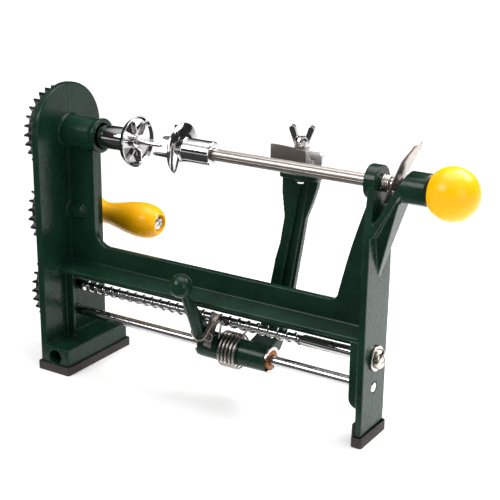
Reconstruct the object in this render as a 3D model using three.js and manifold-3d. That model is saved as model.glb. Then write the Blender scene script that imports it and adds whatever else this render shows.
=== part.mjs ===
// Hand-cranked fruit peeler and corer: a cast C-frame carries a geared spindle with a drive chuck,
// a sliding tail shaft with a free chuck, and a carriage with a sprung peeling arm on a guide rod.
// Millimetres. +X runs along the spindle from the gears to the ball knob, +Y away from the user,
// +Z up. X = 0 is the inner face of the headstock plate, Y = 0 the spindle plane, Z = 0 the table.
import * as THREE from 'three';
import { ConvexGeometry } from 'three/addons/geometries/ConvexGeometry.js';
import { mergeVertices } from 'three/addons/utils/BufferGeometryUtils.js';
import Module from 'manifold-3d';

// ---------------------------------------------------------------- driving dimensions
const FIT = 0.3;                 // clearance between touching pieces
const SPINDLE_Z = 181.5;         // spindle and tail shaft height
const SCREW_Z = 60;              // lead screw height
const ROD_Z = 38.5;              // guide rod height
const IDLER_Z = (SPINDLE_Z + SCREW_Z) / 2;

const PLATE = { thick: 5.7, half: 36.2 };
const FOOT = { x1: 21, top: 20, bottom: 3.3 };
const WEB = { half: 2.5, depth: 23.5, corner: 12 };
const BEAM = { top: 95.8, web: 81, lip: 78.5, bottom: 75.5, keel: 66.2, halfLeft: 20, halfRight: 17 };
const LEG = { x0: 255.5, x1: 260.2, half: 17.5, footHalf: 17.2, crotch: 152 };
const BLOCK = { x0: 249, z0: 27, half: 16, corner: 7 };
const SPINDLE_BOSS = { x1: 32, r: 12.1, rim: 12.9 };
const IDLER_BOSS = { x1: 15.6, r: 6.6 };
const TAIL_BOSS = { x0: 250.8, x1: 259.2, r: 11.5 };
const KNOB_BOSS = { x1: 293.5, r: 10.7 };
const BRANCH = { x: 261.2, z: 157.2, lean: 27, thick: 4.3 };
const CLAMP_HOLE = { x: 8.2, z: 12, r: 5.8, deep: 30 };

const GEAR = { teeth: 28, x0: -16, x1: -8, pressure: 20, backlash: 0.35 };
const SHAFT_R = 6;
const COLLAR = { x0: 22, x1: 58.7, r: 8.8 };
const CHUCK = { x: 64.6, r: 18.7, fins: 6 };
const TAIL_CHUCK = { x: 103, r: 18.8, hubX: 130, hubR: 8.75 };
const TAIL_SHAFT = { x0: 112.3, x1: 304, r: 4.2 };
const KNOB = { x: 307.4, r: 17.5, flat: 294 };
const THREAD = { x0: 9.6, x1: 208.6, pitch: 7.75, core: 3.1, crest: 4.25, width: 2.1, perTurn: 8 };
const ROD_R = 3.7;

const CRANK = { y: 47.5, z: 104.5, x0: -23.3, x1: -18.3, hubR: 11, tipR: 9 };
const GRIP = { x0: -17.6, x1: 47.6, r: 14, bore: 3.6, recess: 43.8, recessR: 6.4 };

const BUSH = { x0: 119.6, x1: 179.8, r: 7, bore: 3.95 };
const HUB = { r: 10, armR: 9.3, leverX0: 122, split: 147.2, armX1: 178 };
const COIL = { x0: 139.4, x1: 155, r: 12.5, wire: 0.8, turns: 5 };
const LEVER = { x0: 122, x1: 128.5, ball: [125, -33.5, 93.5], ballR: 8.5 };
const STRIP = { x0: 132, x1: 138.5, rivetX: 135.6, rivetZ: 52, lean: 8 };
const ARM = { front: 28, back: 33, ribFront: 25.4, top: 167 };
const HEAD = { x: 181.5, y: 32, z0: 170.4, z1: 188, back: 41, sheet: 1.2 };
const STRAP = [[159.6, 26.6], [164.2, 27], [171.7, 26.2], [177.3, 25], [185.2, 22.6], [190.2, 21.2]];
const GUARD = { x0: 191.2, x1: 203.4, front: 21, deep: 3 };
const WING = { base: 188.3, hub: 192.2, tip: 203, span: 10.4, turn: 18 };

const PLATE_LOCK = {
  x: 264.1, z: 170.6, lean: 21.6, lower: 30.4, tab: 14.5, tabLean: 31, half: 9, thick: 1.5,
};
const LOCK_COIL = { x0: 260.1, x1: 265.3, r: 5.35, wire: 0.55, turns: 4 };
const PAD = { rim: 6.3, floor: 3, over: 2 };
const BOOT = { rim: 7.4, backWall: 16.3, over: 1.7 };

// ---------------------------------------------------------------- finishes
const finish = (color, roughness, metalness) => (
  new THREE.MeshStandardMaterial({ color, roughness, metalness }));
const GREEN = finish(0x123a29, 0.3, 0.1);
const CHROME = finish(0xdcdde0, 0.12, 1);
const SATIN = finish(0xb5a89e, 0.35, 1);
const STEEL = finish(0xa8a5a2, 0.3, 1);
const BLACK = finish(0x1b1b1c, 0.5, 0.3);
const RUBBER = finish(0x262022, 0.8, 0);
const YELLOW = finish(0xf7b808, 0.25, 0);
const BRONZE = finish(0x8a4b22, 0.4, 0.9);

// ---------------------------------------------------------------- solid modelling helpers
const wasm = await Module();
wasm.setup();

const [AXIS_X, AXIS_Y, AXIS_Z] = [[1, 0, 0], [0, 1, 0], [0, 0, 1]].map((v) => new THREE.Vector3(...v));
const degrees = THREE.MathUtils.degToRad;

function signedVolume(geometry) {
  const p = geometry.attributes.position;
  const index = geometry.index.array;
  const [a, b, c] = [new THREE.Vector3(), new THREE.Vector3(), new THREE.Vector3()];
  let volume = 0;
  for (let i = 0; i < index.length; i += 3) {
    a.fromBufferAttribute(p, index[i]);
    b.fromBufferAttribute(p, index[i + 1]);
    c.fromBufferAttribute(p, index[i + 2]);
    volume += a.dot(b.cross(c)) / 6;
  }
  return volume;
}

// A closed geometry with shared vertices and its faces pointing out.
function closed(geometry) {
  geometry.deleteAttribute('normal');
  geometry.deleteAttribute('uv');
  const merged = mergeVertices(geometry, 1e-4);
  if (signedVolume(merged) < 0) {
    const index = merged.index.array;
    for (let i = 0; i < index.length; i += 3) {
      [index[i], index[i + 1]] = [index[i + 1], index[i]];
    }
  }
  return merged;
}

function solid(geometry) {
  const shape = closed(geometry);
  const triVerts = new Uint32Array(shape.index.array);
  const vertProperties = new Float32Array(shape.attributes.position.array);
  return new wasm.Manifold(new wasm.Mesh({ numProp: 3, vertProperties, triVerts }));
}

const join = (...pieces) => pieces.reduce((whole, piece) => whole.add(piece));
const cut = (body, ...tools) => tools.reduce((rest, tool) => rest.subtract(tool), body);

function geometryOf(manifold) {
  const mesh = manifold.getMesh();
  const geometry = new THREE.BufferGeometry();
  const xyz = new Float32Array(mesh.numVert * 3);
  for (let i = 0; i < mesh.numVert; i += 1) {
    xyz.set(mesh.vertProperties.subarray(i * mesh.numProp, i * mesh.numProp + 3), i * 3);
  }
  geometry.setAttribute('position', new THREE.BufferAttribute(xyz, 3));
  geometry.setIndex([...mesh.triVerts]);
  return geometry;
}

// Shapes along or around the machine's axes.
function outline(points) {
  return new THREE.Shape(points.map(([u, v]) => new THREE.Vector2(u, v)));
}

function extruded(shape, from, to, [right, up, along], segments = 10) {
  const options = { depth: to - from, bevelEnabled: false, curveSegments: segments };
  const geometry = new THREE.ExtrudeGeometry(shape, options);
  geometry.translate(0, 0, from);
  geometry.applyMatrix4(new THREE.Matrix4().makeBasis(right, up, along));
  return solid(geometry);
}

const alongX = (shape, x0, x1, segments) => extruded(shape, x0, x1, [AXIS_Y, AXIS_Z, AXIS_X], segments);
const alongZ = (shape, z0, z1, segments) => extruded(shape, z0, z1, [AXIS_X, AXIS_Y, AXIS_Z], segments);
const alongY = (shape, y0, y1, segments) => {
  const minusY = AXIS_Y.clone().negate();
  return extruded(shape, -y1, -y0, [AXIS_X, AXIS_Z, minusY], segments);
};

function box(x0, x1, y0, y1, z0, z1) {
  const geometry = new THREE.BoxGeometry(x1 - x0, y1 - y0, z1 - z0);
  geometry.translate((x0 + x1) / 2, (y0 + y1) / 2, (z0 + z1) / 2);
  return solid(geometry);
}

// A turned piece about a line parallel to X through (y, z); profile points are [x, radius].
function turned(profile, y, z, segments = 28) {
  const points = profile.map(([x, r]) => new THREE.Vector2(r, x));
  const geometry = new THREE.LatheGeometry(points, segments);
  geometry.rotateZ(-Math.PI / 2);
  geometry.translate(0, y, z);
  return solid(geometry);
}

const round = (x0, x1, r, y, z, segments) => turned([[x0, 0], [x0, r], [x1, r], [x1, 0]], y, z, segments);

function tube(x0, x1, inner, outer, y, z, segments) {
  return turned([[x0, inner], [x0, outer], [x1, outer], [x1, inner], [x0, inner]], y, z, segments);
}

function post(x, y, z0, z1, r0, r1 = r0, segments = 16) {
  const geometry = new THREE.CylinderGeometry(r1, r0, z1 - z0, segments);
  geometry.rotateX(Math.PI / 2);
  geometry.translate(x, y, (z0 + z1) / 2);
  return solid(geometry);
}

const hull = (points) => solid(new ConvexGeometry(points.map((p) => new THREE.Vector3(...p))));

// Both signs of Y for each [x, half width, z].
const mirrored = (points) => points.flatMap(([x, half, z]) => [[x, half, z], [x, -half, z]]);

function roundedRectangle(x0, x1, y0, y1, r) {
  const shape = new THREE.Shape();
  shape.moveTo(x0 + r, y0);
  shape.lineTo(x1 - r, y0);
  shape.absarc(x1 - r, y0 + r, r, -Math.PI / 2, 0);
  shape.lineTo(x1, y1 - r);
  shape.absarc(x1 - r, y1 - r, r, 0, Math.PI / 2);
  shape.lineTo(x0 + r, y1);
  shape.absarc(x0 + r, y1 - r, r, Math.PI / 2, Math.PI);
  shape.lineTo(x0, y0 + r);
  shape.absarc(x0 + r, y0 + r, r, Math.PI, 1.5 * Math.PI);
  return shape;
}

class Route extends THREE.Curve {
  constructor(pointAt) {
    super();
    this.pointAt = pointAt;
  }

  getPoint(t, target = new THREE.Vector3()) {
    return target.copy(this.pointAt(t));
  }
}

function wire(curve, r, steps, sides = 6) {
  const section = new THREE.Shape();
  for (let i = 0; i < sides; i += 1) {
    const angle = (2 * Math.PI * i) / sides;
    section[i ? 'lineTo' : 'moveTo'](r * Math.cos(angle), r * Math.sin(angle));
  }
  return solid(new THREE.ExtrudeGeometry(section, { steps, extrudePath: curve }));
}

function hexagon(x0, x1, flats, y, z) {
  const corner = flats / Math.sqrt(3);
  return turned([[x0, 0], [x0, corner], [x1, corner], [x1, 0]], y, z, 6);
}

// ---------------------------------------------------------------- assembly
const peeler = new THREE.Group();

function place(name, shape, material) {
  const mesh = new THREE.Mesh(geometryOf(shape), material);
  mesh.name = name;
  peeler.add(mesh);
}

// ---------------------------------------------------------------- cast frame
function headstockPlate() {
  const shape = new THREE.Shape();
  shape.moveTo(-PLATE.half, FOOT.bottom);
  shape.lineTo(PLATE.half, FOOT.bottom);
  shape.lineTo(PLATE.half, SPINDLE_Z);
  shape.absarc(0, SPINDLE_Z, PLATE.half, 0, Math.PI);
  shape.lineTo(-PLATE.half, FOOT.bottom);
  return alongX(shape, -PLATE.thick, 0, 16);
}

// The centre web runs down the headstock, along the beam and up the tail leg.
function centreWeb() {
  const shape = new THREE.Shape();
  shape.moveTo(-1, BEAM.bottom + 1);
  shape.lineTo(LEG.x0 + 1, BEAM.bottom + 1);
  shape.lineTo(LEG.x0 + 1, 172);
  shape.lineTo(252, 172);
  shape.quadraticCurveTo(243, 140, 232, 105);
  shape.quadraticCurveTo(230, BEAM.top, 224, BEAM.top);
  shape.lineTo(WEB.depth + WEB.corner, BEAM.top);
  shape.absarc(WEB.depth + WEB.corner, BEAM.top + WEB.corner, WEB.corner, 1.5 * Math.PI, Math.PI, true);
  shape.lineTo(WEB.depth, SPINDLE_Z);
  shape.lineTo(-1, SPINDLE_Z);
  return alongY(shape, -WEB.half, WEB.half, 6);
}

function beamFlange() {
  const ends = [[-1, BEAM.halfLeft], [LEG.x0 + 1, BEAM.halfRight]];
  return hull(ends.flatMap(([x, half]) => mirrored([
    [x, half, BEAM.bottom], [x, half, BEAM.lip], [x, WEB.half, BEAM.web]])));
}

function tailLeg() {
  const { half, footHalf, crotch } = LEG;
  const lower = outline([[-footHalf, FOOT.bottom], [footHalf, FOOT.bottom], [half, 115], [half - 0.5, crotch],
    [0.5 - half, crotch], [-half, 115]]);
  const upper = hull(mirrored([
    [LEG.x0, half - 0.5, crotch - 1], [LEG.x1, half - 0.5, crotch - 1],
    [TAIL_BOSS.x1 - 4.7, TAIL_BOSS.r - 0.1, SPINDLE_Z], [TAIL_BOSS.x1, TAIL_BOSS.r - 0.1, SPINDLE_Z]]));
  return join(alongX(lower, LEG.x0, LEG.x1), upper);
}

function bearingBlock() {
  const { x0, z0, corner, half } = BLOCK;
  const shape = new THREE.Shape();
  shape.moveTo(LEG.x0 + 1, BEAM.bottom + 2);
  shape.lineTo(x0, BEAM.bottom + 2);
  shape.lineTo(x0, z0 + corner);
  shape.absarc(x0 + corner, z0 + corner, corner, Math.PI, 1.5 * Math.PI);
  shape.lineTo(LEG.x0 + 1, z0);
  return alongY(shape, -half, half, 6);
}

// The slanted branch that carries the knob boss, with a tapered gusset under it.
function knobBranch() {
  const lean = degrees(BRANCH.lean);
  const [ux, uz] = [Math.sin(lean), Math.cos(lean)];
  const at = (s, depth) => [BRANCH.x + s * ux + depth * uz, BRANCH.z + s * uz - depth * ux];
  const [low, high] = [-8, (SPINDLE_Z - BRANCH.z) / uz];
  const corner = (s, depth, half) => [at(s, depth)[0], half, at(s, depth)[1]];
  const slab = hull(mirrored([
    corner(low, 0, LEG.half - 0.4), corner(low, BRANCH.thick, LEG.half - 0.4),
    corner(high, 0, KNOB_BOSS.r), corner(high, BRANCH.thick, KNOB_BOSS.r)]));
  const beyond = KNOB_BOSS.x1 + 40;
  const behind = outline([at(-30, 0), at(70, 0), [beyond, at(70, 0)[1]], [beyond, at(-30, 0)[1]]]);
  const boss = round(262, KNOB_BOSS.x1, KNOB_BOSS.r, 0, SPINDLE_Z, 24).intersect(alongY(behind, -20, 20));
  const gusset = hull(mirrored([
    [LEG.x1 - 1, 1.6, 115], [LEG.x1 - 1, 9, 150], [270, 10, 176], [275.5, 9.6, 172]]));
  return join(slab, boss, gusset);
}

function spindleBoss() {
  const { x1, r, rim } = SPINDLE_BOSS;
  const profile = [[-1, 0], [-1, r + 0.6], [0.5, r + 0.5], [1.2, r], [x1 - 4.5, r], [x1 - 2.5, rim],
    [x1, rim - 0.2], [x1, 0]];
  return turned(profile, 0, SPINDLE_Z, 24);
}

function idlerBoss() {
  const { x1, r } = IDLER_BOSS;
  const profile = [[-1, 0], [-1, r + 0.6], [1, r], [x1 - 3, r - 0.3], [x1 - 1, r - 2], [x1, 0]];
  return turned(profile, 0, IDLER_Z, 20);
}

function castFrame() {
  const body = join(
    headstockPlate(),
    box(-PLATE.thick, FOOT.x1, -PLATE.half, PLATE.half, FOOT.bottom, FOOT.top),
    box(-1, 6, -10.5, -7.5, FOOT.top - 1, BEAM.bottom + 1),
    centreWeb(),
    box(-1, LEG.x0 + 1, -WEB.half, WEB.half, BEAM.keel, BEAM.bottom + 1),
    beamFlange(),
    tailLeg(),
    bearingBlock(),
    round(TAIL_BOSS.x0, TAIL_BOSS.x1, TAIL_BOSS.r, 0, SPINDLE_Z, 24),
    knobBranch(),
    spindleBoss(),
    idlerBoss(),
  );
  const clampHole = new THREE.CylinderGeometry(CLAMP_HOLE.r, CLAMP_HOLE.r, CLAMP_HOLE.deep, 20);
  clampHole.translate(CLAMP_HOLE.x, CLAMP_HOLE.deep / 2 - PLATE.half - 0.5, CLAMP_HOLE.z);
  return cut(
    body,
    round(-10, 20.3, 8.3, 0, SPINDLE_Z, 24),
    round(20, 40, COLLAR.r + 0.4, 0, SPINDLE_Z, 24),
    round(-10, 9, 3.3, 0, IDLER_Z, 16),
    round(-10, 10, 6.2, 0, SCREW_Z, 20),
    round(-10, 10, ROD_R + FIT, 0, ROD_Z, 16),
    round(BLOCK.x0 - 5, LEG.x1 + 5, ROD_R + FIT, 0, ROD_Z, 16),
    round(BLOCK.x0 - 5, LEG.x1 + 5, THREAD.crest + FIT, 0, SCREW_Z, 16),
    round(TAIL_BOSS.x0 - 5, KNOB_BOSS.x1 + 5, TAIL_SHAFT.r + FIT, 0, SPINDLE_Z, 20),
    solid(clampHole),
  );
}

place('cast_frame', castFrame(), GREEN);

// ---------------------------------------------------------------- rubber feet
function headstockPad() {
  const tray = alongZ(roundedRectangle(-PLATE.thick - PAD.over, FOOT.x1 + PAD.over,
    -PLATE.half - PAD.over, PLATE.half + PAD.over, 2), 0, PAD.rim, 4);
  const half = PLATE.half + FIT;
  const seat = box(-PLATE.thick - FIT, FOOT.x1 + FIT, -half, half, PAD.floor, PAD.rim + 1);
  return cut(tray, seat);
}

function tailBoot() {
  const [x0, x1, half] = [LEG.x0 - BOOT.over - 0.4, LEG.x1 + BOOT.over, LEG.footHalf + BOOT.over];
  const tray = alongZ(roundedRectangle(x0, x1, -half, half, 2), 0, BOOT.rim, 4);
  const wall = box(x0, LEG.x0 - 0.5, -half + 2, half - 2, BOOT.rim - 2, BOOT.backWall);
  const widest = LEG.footHalf + 0.6;
  const seat = box(LEG.x0 - FIT, LEG.x1 + FIT, -widest, widest, PAD.floor, BOOT.rim + 1);
  return cut(join(tray, wall), seat);
}

place('headstock_pad', headstockPad(), RUBBER);
place('tail_boot', tailBoot(), RUBBER);

// ---------------------------------------------------------------- bearings and fixed rods
place('spindle_bush', tube(-PLATE.thick, 20, SHAFT_R + FIT, 8, 0, SPINDLE_Z, 24), BRONZE);
place('lead_screw_bush', tube(-PLATE.thick, 2.2, 4.3, 5.9, 0, SCREW_Z, 20), BLACK);
place('guide_rod', round(-PLATE.thick, LEG.x1 + 0.1, ROD_R, 0, ROD_Z, 20), CHROME);

const stud = turned([[8.6, 0], [8.6, 3], [-16.2, 3], [-16.2, 2.2], [-17.5, 2.2], [-17.5, 2.8],
  [-18, 2.6], [-18, 0]], 0, IDLER_Z, 16);
place('idler_stud', stud, STEEL);
place('idler_ring', tube(-17.3, -16.5, 2.5, 5, 0, IDLER_Z, 16), STEEL);

// ---------------------------------------------------------------- gears
// Involute spur gear; its first tooth or gap points along +Z.
function spurGear(z, bore, toothUp) {
  const pitchR = (SPINDLE_Z - IDLER_Z) / 2;
  const module = (2 * pitchR) / GEAR.teeth;
  const baseR = pitchR * Math.cos(degrees(GEAR.pressure));
  const involute = (angle) => Math.tan(angle) - angle;
  const halfAtPitch = Math.PI / (2 * GEAR.teeth) - GEAR.backlash / (2 * pitchR);
  const halfAngle = (r) => {
    const angle = Math.acos(Math.min(1, baseR / r));
    return halfAtPitch + involute(degrees(GEAR.pressure)) - involute(angle);
  };
  const radii = [pitchR - 1.25 * module, pitchR, pitchR + 0.92 * module];
  const points = [];
  for (let tooth = 0; tooth < GEAR.teeth; tooth += 1) {
    const middle = Math.PI / 2 + ((tooth + (toothUp ? 0 : 0.5)) * 2 * Math.PI) / GEAR.teeth;
    const flank = (r, side) => {
      const angle = middle + side * halfAngle(Math.max(r, baseR));
      return [r * Math.cos(angle), z + r * Math.sin(angle)];
    };
    points.push(...radii.map((r) => flank(r, -1)), ...radii.toReversed().map((r) => flank(r, 1)));
  }
  const blank = alongX(outline(points), GEAR.x0, GEAR.x1);
  return cut(blank, round(GEAR.x0 - 1, GEAR.x1 + 1, bore, 0, z, 16));
}

place('spindle_gear', spurGear(SPINDLE_Z, SHAFT_R + FIT, true), BLACK);
place('idler_gear', spurGear(IDLER_Z, 3.3, false), BLACK);
place('lead_screw_gear', spurGear(SCREW_Z, 4.3, true), BLACK);

// ---------------------------------------------------------------- spindle and drive chuck
const spindle = turned([[-31, 0], [-31, 3.4], [-30.4, 3.8], [-23.4, 3.8], [-23.4, 4.8], [-16.4, 4.8],
  [-16.4, SHAFT_R], [COLLAR.x0, SHAFT_R], [COLLAR.x0, COLLAR.r], [COLLAR.x1, COLLAR.r], [COLLAR.x1, 4],
  [CHUCK.x - 1.6, 4], [CHUCK.x - 1.6, 0]], 0, SPINDLE_Z, 20);
place('spindle_shaft', spindle, CHROME);

function driveChuck() {
  const { x, r, fins } = CHUCK;
  const dish = turned([[x - 5.6, 4.3], [x - 5.6, 10], [x - 4.2, 17], [x - 0.9, r], [x, r], [x, r - 1],
    [x - 3, r - 2.4], [x - 3.2, 4.3], [x - 5.6, 4.3]], 0, SPINDLE_Z, 24);
  const blades = [];
  for (let i = 0; i < fins; i += 1) {
    const fin = hull([[x - 4, 5], [x - 4, 16.2], [x - 0.6, 15.6], [x + 0.8, 6]].flatMap(([fx, fr]) => [
      [fx, fr, -0.5], [fx, fr, 0.5]]));
    blades.push(fin.rotate([(i * 360) / fins + 15, 0, 0]).translate([0, 0, SPINDLE_Z]));
  }
  return join(dish, ...blades);
}

place('drive_chuck', driveChuck(), CHROME);
place('chuck_pin', turned([[CHUCK.x - 1.2, 0], [CHUCK.x - 1.2, 2.4], [CHUCK.x + 1.6, 2.2], [CHUCK.x + 2, 1.5],
  [83.5, 1.4], [86.5, 0]], 0, SPINDLE_Z, 14), CHROME);

// ---------------------------------------------------------------- crank
function crankArm() {
  const ring = (y, z, r) => Array.from({ length: 16 }, (_, i) => [r * Math.cos(i * Math.PI / 8) + y,
    r * Math.sin(i * Math.PI / 8) + z]);
  const rim = [...ring(0, SPINDLE_Z, CRANK.hubR), ...ring(CRANK.y, CRANK.z, CRANK.tipR)];
  const bar = hull(rim.flatMap(([y, z]) => [[CRANK.x0, y, z], [CRANK.x1, y, z]]));
  return cut(bar, round(CRANK.x0 - 1, CRANK.x1 + 1, 5.1, 0, SPINDLE_Z, 20),
    round(CRANK.x0 - 1, CRANK.x1 + 1, 3.5, CRANK.y, CRANK.z, 16));
}

const crankNut = cut(hexagon(-29.6, -23.6, 13, 0, SPINDLE_Z), round(-40, 0, 4.1, 0, SPINDLE_Z, 16));
const grip = turned([[GRIP.x0, GRIP.bore], [GRIP.x0, 10.2], [-15.5, 11], [-13, 10.2], [-8, 8.8], [-3, 8.6],
  [5, 9.8], [15, 12], [25, 13.6], [32, GRIP.r], [39, 13.2], [44, 11.2], [46.6, 9], [GRIP.x1, 7.4],
  [GRIP.x1 - 0.8, GRIP.recessR], [GRIP.recess, GRIP.recessR], [GRIP.recess, GRIP.bore],
  [GRIP.x0, GRIP.bore]], CRANK.y, CRANK.z, 18);
const gripScrew = turned([[CRANK.x0, 0], [CRANK.x0, 3.2], [GRIP.recess + FIT, 3.2], [GRIP.recess + FIT, 6],
  [GRIP.recess + 2, 5.6], [GRIP.recess + 3.2, 3.2], [GRIP.recess + 3.4, 0]], CRANK.y, CRANK.z, 16);
place('crank_arm', crankArm(), STEEL);
place('crank_nut', crankNut, STEEL);
place('crank_grip', grip, YELLOW);
place('grip_screw', gripScrew, STEEL);

// ---------------------------------------------------------------- lead screw
// The threaded stretch as one helical skin: each turn's crest runs into the next turn's root.
function threadSkin() {
  const { x0, x1, pitch, core, crest, width, perTurn } = THREAD;
  const section = [[0, core], [0.5, crest], [width, crest], [width + 0.5, core]];
  const steps = Math.floor(((x1 - x0) / pitch - 1) * perTurn);
  const position = [];
  for (let i = 0; i <= steps + perTurn; i += 1) {
    const angle = (2 * Math.PI * i) / perTurn;
    section.forEach(([along, r]) => {
      position.push(x0 + (pitch * i) / perTurn + along, r * Math.cos(angle), SCREW_Z + r * Math.sin(angle));
    });
  }
  const index = [];
  const strip = (a, b) => index.push(a, b, a + 4, b, b + 4, a + 4);
  for (let i = 0; i < steps; i += 1) {
    [0, 1, 2].forEach((k) => strip(4 * i + k, 4 * i + k + 1));
    strip(4 * i + 3, 4 * (i + perTurn));
  }
  const left = position.length / 3;
  position.push(x0 - 1, 0, SCREW_Z, x0 + (pitch * (steps + perTurn)) / perTurn + 1, 0, SCREW_Z);
  const turn = Array.from({ length: perTurn + 1 }, (_, i) => 4 * i);
  const fan = (edge, tip) => edge.forEach((v, i) => index.push(v, edge[(i + 1) % edge.length], tip));
  const loop = [...turn, 3, 2, 1];
  fan(loop, left);
  fan(loop.map((v) => v + 4 * steps).toReversed(), left + 1);
  const geometry = new THREE.BufferGeometry();
  geometry.setAttribute('position', new THREE.Float32BufferAttribute(position, 3));
  geometry.setIndex(index);
  return solid(geometry);
}

function leadScrew() {
  const endX = LEG.x1 - 0.4;
  const journal = turned([[-22, 0], [-22, 3], [-16.3, 3], [-16.3, 4], [THREAD.x0 + 1, 4], [THREAD.x0 + 1, 0]],
    0, SCREW_Z, 16);
  const shank = turned([[THREAD.x1 - 9, 0], [THREAD.x1, THREAD.crest], [endX, THREAD.crest], [endX, 3.3],
    [endX - 14, 3.3], [endX - 14, 0]], 0, SCREW_Z, 16);
  return join(threadSkin(), journal, shank);
}

place('lead_screw', leadScrew(), CHROME);
const screwNut = cut(hexagon(-20.6, -16.4, 10, 0, SCREW_Z), round(-40, 0, 3.3, 0, SCREW_Z, 16));
place('lead_screw_nut', screwNut, STEEL);
place('lead_screw_washer', tube(LEG.x1 + FIT, LEG.x1 + 1.9, 3.4, 8.9, 0, SCREW_Z, 24), STEEL);
const endScrew = turned([[LEG.x1 - 12, 0], [LEG.x1 - 12, 3], [LEG.x1 + 2.2, 3], [LEG.x1 + 2.2, 6.9],
  [LEG.x1 + 4.6, 6.7], [LEG.x1 + 6.2, 5.2], [LEG.x1 + 7, 2.6], [LEG.x1 + 7.1, 0]], 0, SCREW_Z, 20);
place('lead_screw_end_screw', endScrew, STEEL);

// ---------------------------------------------------------------- carriage
place('carriage_bush', tube(BUSH.x0, BUSH.x1, BUSH.bore, BUSH.r, 0, ROD_Z, 24), BRONZE);
place('bush_ring_left', tube(BUSH.x0, BUSH.x0 + 1.4, BUSH.r + 0.3, 9.6, 0, ROD_Z, 24), STEEL);
place('bush_ring_right', tube(BUSH.x1 - 1.4, BUSH.x1, BUSH.r + 0.3, 9.6, 0, ROD_Z, 24), STEEL);

function coilPath({ x0, x1, r, turns }, z, start) {
  return new Route((t) => {
    const angle = start + 2 * Math.PI * turns * t;
    return new THREE.Vector3(x0 + (x1 - x0) * t, r * Math.cos(angle), z + r * Math.sin(angle));
  });
}

place('torsion_spring', wire(coilPath(COIL, ROD_Z, degrees(140)), COIL.wire, 45, 5), STEEL);

// ---------------------------------------------------------------- release lever
function releaseLever() {
  const [bx, by, bz] = LEVER.ball;
  const ball = new THREE.SphereGeometry(LEVER.ballR, 16, 10);
  ball.translate(bx, by, bz);
  const stem = hull([
    [LEVER.x0, -13.5, 44.5], [LEVER.x1, -13.5, 44.5], [LEVER.x0, -14, 50], [LEVER.x1, -14, 50],
    [LEVER.x0 + 0.5, -4.5, 43.5], [LEVER.x1, -4.5, 43.5], [LEVER.x0 + 0.5, -7.5, 53], [LEVER.x1, -7.5, 53],
    [bx - 3.4, by + 1.5, bz - 8], [bx + 3.4, by + 1.5, bz - 8],
    [bx - 3, by + 6.4, bz - 6], [bx + 3, by + 6.4, bz - 6]]);
  const pad = hull([STRIP.x0 - 1, STRIP.x1 - 0.7].flatMap((x) => [
    [x, -12.3, 44], [x, -12.3, 53.4], [x, -8.5, 56.2], [x, -5.6, 45], [x, -6, 43.4]]));
  const body = join(round(HUB.leverX0, HUB.split - FIT, HUB.r, 0, ROD_Z, 28), stem, pad, solid(ball));
  const rivetHole = new THREE.CylinderGeometry(2, 2, 12, 12);
  rivetHole.translate(STRIP.rivetX, -14, STRIP.rivetZ);
  return cut(body, round(HUB.leverX0 - 9, HUB.split + 1, BUSH.r + FIT, 0, ROD_Z, 24), solid(rivetHole));
}

function followerStrip() {
  const bar = alongX(outline([[-12.6, 43], [-12.6, 54.6], [-6.2, 67], [-8.2, 68], [-14.6, 55], [-14.6, 43]]),
    STRIP.x0, STRIP.x1);
  const tongue = alongX(outline([[-10.6, 57], [-4.8, 58.4], [-4.8, 61.6], [-8.6, 63]]),
    STRIP.x0 + 2, STRIP.x0 + 4.4);
  const rivetHole = new THREE.CylinderGeometry(2, 2, 12, 12);
  rivetHole.translate(STRIP.rivetX, -14, STRIP.rivetZ);
  const strip = cut(join(bar, tongue), solid(rivetHole));
  return strip.translate([-STRIP.rivetX, 0, -STRIP.rivetZ]).rotate([0, STRIP.lean, 0])
    .translate([STRIP.rivetX, 0, STRIP.rivetZ]);
}

function followerRivet() {
  const shank = new THREE.CylinderGeometry(1.7, 1.7, 5.6, 12);
  shank.translate(STRIP.rivetX, -12.6, STRIP.rivetZ);
  const head = new THREE.CylinderGeometry(4.2, 2.8, 1.5, 16);
  head.rotateX(Math.PI);
  head.translate(STRIP.rivetX, -15.65, STRIP.rivetZ);
  return join(solid(shank), solid(head));
}

place('release_lever', releaseLever(), GREEN);
place('follower_strip', followerStrip(), STEEL);
place('follower_rivet', followerRivet(), STEEL);

// ---------------------------------------------------------------- peeling arm
function peelingArm() {
  const { front, back, ribFront, top } = ARM;
  const blade = alongY(outline([[156, 60], [176, 60], [181, 92], [185, 117], [188, 137], [192.5, 149],
    [196, 160], [197.5, top], [169, top], [169, 153], [171, 137], [167.7, 116.5], [164, 103.5],
    [160.7, 86]]), front, back);
  const ribs = [[164.8, 181.5], [172, 186.4]].map(([low, high]) => alongY(outline([[low, 62], [low + 2.4, 62],
    [high + 5, top], [high + 2.6, top]]), ribFront, front + 1));
  const root = alongX(outline([[3, 31], [19, 40], [back, 56], [back, 64], [front, 64], [front - 1, 60],
    [15, 48], [4, 45.5]]), 157, 176);
  const shelf = box(168, 198, 22.6, 41.5, top - 0.5, top + 3);
  const hub = turned([[HUB.split, 0], [HUB.split, HUB.r], [HUB.armX1, HUB.armR], [HUB.armX1, 0]], 0, ROD_Z);
  const body = join(hub, blade, ...ribs, root, shelf);
  return cut(body, round(HUB.split - 1, HUB.armX1 + 1, BUSH.r + FIT, 0, ROD_Z, 24),
    box(HEAD.x - 4.4, HEAD.x + 4.4, ribFront - 1, HEAD.y + 4.4, top - 4.6, top - 0.5),
    post(HEAD.x, HEAD.y, top - 2, top + 4, 2.8));
}

place('peeling_arm', peelingArm(), GREEN);
place('head_bolt', join(post(HEAD.x, HEAD.y, ARM.top - 3.8, ARM.top - 0.8, 4.1, 4.1, 6),
  post(HEAD.x, HEAD.y, ARM.top - 1, WING.hub - 0.4, 2.5)), STEEL);

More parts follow.
